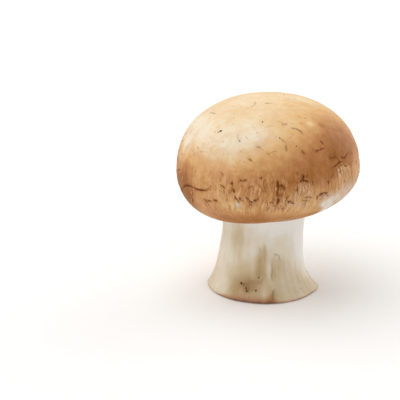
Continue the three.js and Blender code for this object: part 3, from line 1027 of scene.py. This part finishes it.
def grown_brown(tree, place, swayed, dapple, ripe_and_shaded, fray, drop):
    """The skin's brown as it ripened, with some painted shade, in soft clouds, dapples and bundles of
    fibres.
    """
    clouds = add(tree, "TexNoise", [place, PER_MM / CLOUD_SIZE, 3.0])
    dappled = add(tree, "MapRange", [drop, 12.0, 30.0, 0.24, 0.44])
    bundled = skin_fibres(tree, swayed, *BUNDLE_SIZE, 1.0)
    bundled = add(tree, "Math", [bundled, 0.5], "SUBTRACT")
    bundled = add(tree, "Math", [bundled, fray], "MULTIPLY")
    tone = add(tree, "Math", [ripe_and_shaded, 0.15], "SUBTRACT")
    for part, weight in ((clouds, 0.30), (dapple, dappled), (bundled, 0.62)):
        tone = add(tree, "Math", [part, weight, tone], "MULTIPLY_ADD")
    return add(tree, "ValToRGB", [tone], stops=(
        (0.0, "#e8d8bd"), (0.2, "#e3c598"), (0.4, "#dcb077"), (0.6, "#c7915a"), (0.8, "#ad713b"),
        (1.0, "#965b1c")))


def marked_skin(tree, skin, place, fibres, worn, ripe_and_shaded, drop):
    """The skin with a blush on the flank, pale slits and dark crevices between fibres, specks and
    faint lines. The crevices are partly brown fibre and partly painted shade."""
    blush = add(tree, "TexNoise", [place, PER_MM / BLUSH_SIZE, 3.0])
    blush = add(tree, "MapRange", [blush, 0.45, 0.65, 0.0, 0.35])
    flank = add(tree, "MapRange", [drop, 14.0, 28.0, 0.3])
    young = add(tree, "MapRange", [ripe_and_shaded, 0.7, 1.1, 1.0, 0.25])
    slits = add(tree, "MapRange", [fibres, 0.53, 0.68])
    # Dark crevices: partly brown fibre, partly painted shade between the fibres
    crevices = add(tree, "MapRange", [fibres, 0.47, 0.30])
    small = specks(tree, place, *SPECKS)
    lines = hairlines(tree, place, *HAIRLINES)
    marks = add(tree, "Math", [small, lines], "MAXIMUM")
    for layer, share, *others in (("#c98c66", blush, flank, young), ("#e3b890", slits, worn, young),
                                  ("#834a24", crevices, worn), ("#8c5a2a", marks, 0.45)):
        for other in others:
            share = add(tree, "Math", [share, other], "MULTIPLY")
        skin = add(tree, "Mix", [share, skin, layer], data_type="RGBA")
    return skin


def cap_cuticle(tree):
    """Cremini cuticle: a thin dry skin of pressed brown fibres over white flesh. The eye gets a
    soft satin sheen on the smooth crown, and frayed dull fibres towards the rim."""
    place = add(tree, "TexCoord").outputs["Object"]
    grain = add(tree, "Attribute", attribute_name="grain").outputs["Vector"]
    ripe_and_shaded, fray, split, margin, bared, pale, drop = (
        add(tree, "Attribute", attribute_name=name).outputs["Fac"]
        for name in ("ripeness", "fray", "split", "margin", "bared", "cream", "drop"))

    # Fibres that run down the cap, a little wavy. They show in patches, most where the skin frays
    sway = add(tree, "TexNoise", [place, PER_MM / SWAY_SIZE, 1.0]).outputs["Color"]
    sway = add(tree, "VectorMath", [sway, SWAY], "SCALE")
    swayed = add(tree, "VectorMath", [grain, sway], "ADD")
    fibres = skin_fibres(tree, swayed, *FIBRE_SIZE, 2.0)
    patches = add(tree, "TexNoise", [place, PER_MM / PATCH_SIZE, 2.0])
    patches = add(tree, "MapRange", [patches, 0.38, 0.58, 0.3], interpolation_type="SMOOTHSTEP")
    worn = add(tree, "Math", [fray, patches], "MULTIPLY")
    dapples = add(tree, "TexNoise", [place, PER_MM / DAPPLE_SIZE, 3.0, 0.6])
    dapple = add(tree, "Math", [dapples, 0.5], "SUBTRACT")
    skin = grown_brown(tree, place, swayed, dapple, ripe_and_shaded, fray, drop)
    skin = marked_skin(tree, skin, place, fibres, worn, ripe_and_shaded, drop)

    # The torn flesh, the peach and cream wedge, the rim's pale lip, and the splits with their
    # browned margins. The dark bottom of a split is partly browned flesh and partly painted shade.
    flesh = add(tree, "ValToRGB", [fibres], stops=(
        (0.32, "#aa7241"), (0.47, "#c99769"), (0.66, "#deb58b")))
    streaks = add(tree, "Math", [fibres, dapple], "ADD")
    streaks = add(tree, "Math", [streaks, 1.2, 0.4], "MULTIPLY_ADD")
    patchy = add(tree, "Math", [streaks, pale], "MULTIPLY")
    peach = add(tree, "MapRange", [patchy, 0.0, 0.5])
    creamy = add(tree, "MapRange", [patchy, 0.5, 0.95])
    lip = add(tree, "MapRange", [drop, LIP_DROP - 2, LIP_DROP - 1])
    browned = add(tree, "Math", [margin, 0.45], "MULTIPLY")
    # Bottom of a split: partly browned flesh, partly painted shade
    depth = add(tree, "ValToRGB", [ripe_and_shaded], stops=((0.3, "#6e4a20"), (0.6, "#682b04")))
    for layer, share in ((flesh, bared), ("#d2b398", peach), ("#e4dacb", creamy), ("#dccdae", lip),
                         ("#9a5a2c", browned), (depth, split)):
        skin = add(tree, "Mix", [share, skin, layer], data_type="RGBA")

    # Satin on the crown, dull where it frays, with fine relief in millimetres
    dull = 0.44
    for part, weight in ((fray, 0.16), (dapples, 0.16), (split, 0.3)):
        dull = add(tree, "Math", [part, weight, dull], "MULTIPLY_ADD")
    fine = add(tree, "TexNoise", [place, PER_MM / CUTICLE_GRAIN, 2.0])
    raised = add(tree, "Math", [worn, bared], "MAXIMUM")
    raised = add(tree, "Math", [raised, 0.22], "MULTIPLY")
    surface = 0.0
    for part, weight in ((fine, 0.02), (fibres, raised)):
        surface = add(tree, "Math", [part, weight, surface], "MULTIPLY_ADD")
    return {
        "Base Color": skin, "Roughness": dull, "IOR": 1.42, "Specular IOR Level": 0.2,
        "Subsurface Weight": 0.12, "Subsurface Radius": (1.0, 0.5, 0.25),
        "Subsurface Scale": 1.5 * MM,
        "Normal": add(tree, "Bump", {"Height": surface, "Distance": MM}),
    }


def cut_face(tree, place, from_axis):
    """The cut: cream flesh with a paler skin ring, a small pith, and tan where it browned, most
    near the edge; and the drag lines that the knife left on it."""
    blots = add(tree, "TexNoise", [place, PER_MM / BLOT_SIZE, 5.0])
    width, length = DRAG_SIZE
    drag = add(tree, "VectorMath", [place, (1, width / length, 1)], "MULTIPLY")
    drag = add(tree, "TexNoise", [drag, PER_MM / width, 3.0])
    outward = add(tree, "MapRange", [from_axis, 0.4 * FOOT_RADIUS, FOOT_RADIUS, 0.0, 0.10])
    aged = add(tree, "Math", [blots, outward], "ADD")
    aged = add(tree, "Math", [drag, 0.22, aged], "MULTIPLY_ADD")
    aged = add(tree, "Math", [aged, 0.11], "SUBTRACT")
    face = add(tree, "ValToRGB", [aged], stops=(
        (0.35, "#ece3d0"), (0.52, "#e2d2b2"), (0.66, "#d8b078"), (0.8, "#b5763c")))
    warped = add(tree, "Math", [blots, 5.0, from_axis], "MULTIPLY_ADD")
    pith = add(tree, "MapRange", [warped, *PITH])
    ring = add(tree, "MapRange", [warped, *SKIN_RING, 0.0, 0.8])
    for layer, share in (("#f0e9dc", pith), ("#e9e1cf", ring)):
        face = add(tree, "Mix", [share, face, layer], data_type="RGBA")
    return face, drag


def stem_flesh(tree):
    """Mushroom stem: off-white flesh in long fibres, as dull on the cut as outside. The eye
    gets faint upright streaks, tan stains, and a browned line where the knife went through."""
    place = add(tree, "TexCoord").outputs["Object"]
    grain = add(tree, "Attribute", attribute_name="grain").outputs["Vector"]
    height, from_axis, cut, stained_and_shaded, browned, split = (
        add(tree, "Attribute", attribute_name=name).outputs["Fac"]
        for name in ("height", "from_axis", "cut", "stain", "browned", "split"))

    # The side in streaks, stains and a little painted shade, then creases, the browned edge and the cut
    width, length = STREAK_SIZE
    drawn = add(tree, "VectorMath", [grain, (1, 1, width / length)], "MULTIPLY")
    fibres = add(tree, "TexNoise", [drawn, 1 / width, 3.0])
    clouds = add(tree, "TexNoise", [place, PER_MM / STAIN_SIZE, 4.0])
    tone = add(tree, "Math", [stained_and_shaded, 0.40], "SUBTRACT")
    for part in (fibres, clouds):
        tone = add(tree, "Math", [part, 0.40, tone], "MULTIPLY_ADD")
    side = add(tree, "ValToRGB", [tone], stops=(
        (0.0, "#ece9e3"), (0.25, "#e3d8c4"), (0.5, "#d2bf9e"), (0.75, "#bda279"), (1.0, "#a07c50")))
    crease = add(tree, "Math", [split, 0.55], "MULTIPLY")
    ragged = add(tree, "Math", [clouds, -0.5, height], "MULTIPLY_ADD")
    browned = add(tree, "MapRange", [ragged, browned, -0.1])
    brown = add(tree, "ValToRGB", [browned], stops=(
        (0.0, "#b98c62"), (0.6, "#a8693f"), (0.85, "#7c4321"), (0.95, "#5f2c10")))
    face, drag = cut_face(tree, place, from_axis)
    for layer, share in (("#8f6839", crease), (brown, browned), (face, cut)):
        side = add(tree, "Mix", [share, side, layer], data_type="RGBA")

    # Fine relief in millimetres
    fine = add(tree, "TexNoise", [place, PER_MM / FLESH_GRAIN, 3.0])
    dragging = add(tree, "Math", [cut, 0.12], "MULTIPLY")
    surface = 0.0
    for part, weight in ((fine, 0.03), (fibres, 0.10), (drag, dragging)):
        surface = add(tree, "Math", [part, weight, surface], "MULTIPLY_ADD")
    return {
        "Base Color": side,
        "Roughness": add(tree, "Math", [clouds, 0.2, 0.5], "MULTIPLY_ADD"),
        "IOR": 1.4, "Subsurface Weight": 0.3, "Subsurface Radius": (1.0, 0.8, 0.6),
        "Subsurface Scale": 2 * MM,
        "Normal": add(tree, "Bump", {"Height": surface, "Distance": MM}),
    }


def curled_cuticle(tree):
    """Torn cuticle: brown where it is rooted, pale flesh fibres at the tip. The eye gets dull
    curls that catch a little light on their ends."""
    place = add(tree, "TexCoord").outputs["Object"]
    along, tint = (add(tree, "Attribute", attribute_name=name).outputs["Fac"]
                   for name in ("along", "tint"))
    grain = add(tree, "TexNoise", [place, PER_MM / TORN_GRAIN, 3.0])
    tone = along
    for part, weight in ((grain, 0.6), (tint, 0.5)):
        tone = add(tree, "Math", [part, weight, tone], "MULTIPLY_ADD")
    return {
        "Base Color": add(tree, "ValToRGB", [tone], stops=(
            (0.3, "#9c6033"), (0.8, "#bd8656"), (1.0, "#dcae82"))),
        "Roughness": 0.7, "Specular IOR Level": 0.15, "Subsurface Weight": 0.1,
        "Subsurface Scale": MM,
        "Normal": add(tree, "Bump", {"Height": grain, "Distance": GRAIN_DEPTH * MM}),
    }


def casing_soil(tree):
    """Casing soil: peat crumbs. The eye gets dark grains, dull and a little uneven in colour."""
    place = add(tree, "TexCoord").outputs["Object"]
    grain = add(tree, "TexNoise", [place, PER_MM / SOIL_GRAIN, 2.0])
    return {
        "Base Color": add(tree, "ValToRGB", [grain], stops=((0.35, "#3b291b"), (0.65, "#745134"))),
        "Roughness": add(tree, "Math", [grain, 0.3, 0.65], "MULTIPLY_ADD"),
        "Specular IOR Level": 0.1,
        "Normal": add(tree, "Bump", {"Height": grain, "Distance": GRAIN_DEPTH * MM}),
    }


def floor_paper(_tree):
    """Matt white paper: no grain at this distance."""
    return {"Base Color": "#f2f1ef", "Roughness": 0.9}


# ---------------------------------------------------------------- studio

AIM = Vector((-15.86, 0, 23.37)) * MM
CAMERA_DISTANCE = 390 * MM
CAMERA_ELEVATION = math.radians(19)
CAMERA_LENS = 135
NEAREST_SEEN = 10 * MM
FLOOR_HALF = 2000
ROOM_BRIGHTNESS = 0.67


def make_camera():
    """A long lens that looks down a little on the front."""
    lens = bpy.data.cameras.new("camera")
    lens.lens = CAMERA_LENS
    lens.clip_start = NEAREST_SEEN
    camera = bpy.data.objects.new("camera", lens)
    bpy.context.scene.collection.objects.link(camera)
    back = Vector((0, -math.cos(CAMERA_ELEVATION), math.sin(CAMERA_ELEVATION)))
    camera.location = AIM + CAMERA_DISTANCE * back
    camera.rotation_euler = back.to_track_quat("Z", "Y").to_euler()
    bpy.context.scene.camera = camera


def make_light(name, place, size, power):
    """A square soft light that faces the mushroom, its place and size in metres."""
    lamp = bpy.data.lights.new(name, "AREA")
    lamp.size = size
    lamp.energy = power
    light = bpy.data.objects.new(name, lamp)
    bpy.context.scene.collection.objects.link(light)
    light.location = place
    light.rotation_euler = Vector(place).to_track_quat("Z", "Y").to_euler()


def make_studio():
    """A pale floor, a white room, a large soft light at the upper left and a weak one opposite."""
    corners = [(x * FLOOR_HALF, y * FLOOR_HALF, 0) for x, y in ((-1, -1), (1, -1), (1, 1), (-1, 1))]
    floor = new_piece("floor", corners, faces=[(0, 1, 2, 3)])
    floor.data.materials.append(new_material("white paper", floor_paper))
    make_light("key light", place=(-0.30, 0.10, 0.64), size=1.0, power=4.0)
    make_light("edge light", place=(0.50, 0.35, 0.30), size=0.5, power=1.2)
    world = bpy.data.worlds.new("white room")
    world.use_nodes = True
    room = world.node_tree.nodes["Background"]
    room.inputs["Color"].default_value = linear("#ffffff")
    room.inputs["Strength"].default_value = ROOM_BRIGHTNESS
    bpy.context.scene.world = world
    bpy.context.scene.view_settings.view_transform = "Standard"


# ---------------------------------------------------------------- putting it together

make_camera()
make_studio()
relief = relief_tree()
copies = scatter_tree()
cap_lines = cap_split_lines()
stem_lines = stem_split_lines()
cap = make_cap(new_material("cremini cuticle", cap_cuticle), relief, cap_lines)
stem = make_stem(new_material("mushroom stem flesh", stem_flesh), relief, stem_lines)
scales = make_scales(copies, cap, new_material("torn cuticle", curled_cuticle))
crumbs = make_crumbs(copies, cap, stem, new_material("casing soil", casing_soil))
for lines in (cap_lines, stem_lines):
    bpy.data.objects.remove(lines)

for piece, slot in ((cap, "cap_skin"), (scales, "cap_skin"), (stem, "stem_flesh"),
                    (crumbs[0], "cap_skin"), (crumbs[1], "stem_flesh")):
    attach(piece, "root")
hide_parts("cap")
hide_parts("stem_with_veil")
